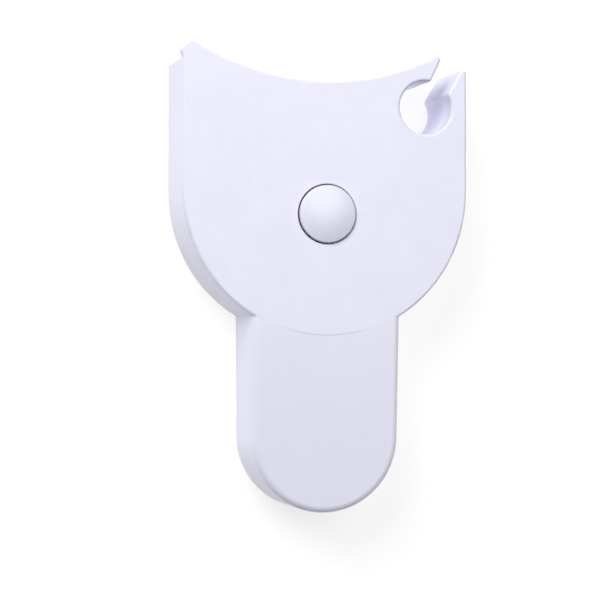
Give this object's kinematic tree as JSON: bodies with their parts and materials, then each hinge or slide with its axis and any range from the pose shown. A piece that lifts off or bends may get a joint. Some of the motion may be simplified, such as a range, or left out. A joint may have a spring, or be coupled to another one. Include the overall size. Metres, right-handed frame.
{
  "type": "retractable body tape measure",
  "caption": "Round hand-held body tape measure with a flat handle, dished release button, and a keyhole notch that the tape's pull-out peg locks into.",
  "frame": {"origin": "on the back face, on the axis of the reel and button", "axes": "+Z out of the front face, along the button's axis; +Y up towards the notch, away from the handle; +X to the right, the notch's side"},
  "size_m": [0.0726, 0.1147, 0.0209],
  "materials": {
    "shell": "satin moulded ABS",
    "button": "satin moulded ABS",
    "peg": "satin moulded ABS",
    "nylon": "natural acetal",
    "steel": "zinc-plated steel",
    "spring_steel": "blued spring steel",
    "tape": "coated glass-fibre tape",
    "pad": "matt"
  },
  "bodies": {
    "housing": {"front_housing": "shell", "rear_cover": "shell", "cover_screws": "steel", "reel_axle": "steel", "axle_screw": "steel", "axle_washer": "steel", "thrust_washer": "nylon", "lever_pin": "steel", "roller_pin": "steel", "brake_spring": "spring_steel", "button_spring": "spring_steel", "tape_lead": "tape"},
    "button": {"release_button": "button"},
    "lever": {"brake_lever": "nylon", "brake_pad": "pad"},
    "reel": {"tape_reel": "nylon", "reel_flange": "nylon", "tape_coil": "tape", "mainspring": "spring_steel"},
    "roller": {"guide_roller": "nylon"},
    "peg": {"end_peg": "peg", "peg_pin": "steel", "tape_end": "tape"}
  },
  "joints": [
    {"name": "button_press", "type": "slide", "parent": "housing", "child": "button", "axis": [0, 0, -1], "range_m": [0, 0.0016], "stiffness_N_per_m": 900, "springref_m": -0.0012, "deforming": ["button_spring"]},
    {"name": "brake_lever_tilt", "type": "hinge", "parent": "housing", "child": "lever", "pos_m": [0, -0.014, 0.015], "axis": [-1, 0, 0], "range_deg": [0, 14.5], "deforming": ["brake_spring"]},
    {"name": "tape_pull", "type": "slide", "parent": "housing", "child": "peg", "axis": [0, 1, 0], "range_m": [0, 1.45]},
    {"name": "reel_spin", "type": "hinge", "parent": "housing", "child": "reel", "pos_m": [0, 0, 0], "axis": [0, 0, -1], "range_deg": [0, 5130]},
    {"name": "guide_roller_spin", "type": "hinge", "parent": "housing", "child": "roller", "pos_m": [-0.0255, 0.021, 0], "axis": [0, 0, -1], "range_deg": [0, 34620]}
  ],
  "couplings": [
    {"joint": "brake_lever_tilt", "follows": "button_press", "rad_per_m": 156.25},
    {"joint": "reel_spin", "follows": "tape_pull", "rad_per_m": 61.7},
    {"joint": "guide_roller_spin", "follows": "tape_pull", "rad_per_m": 416}
  ]
}
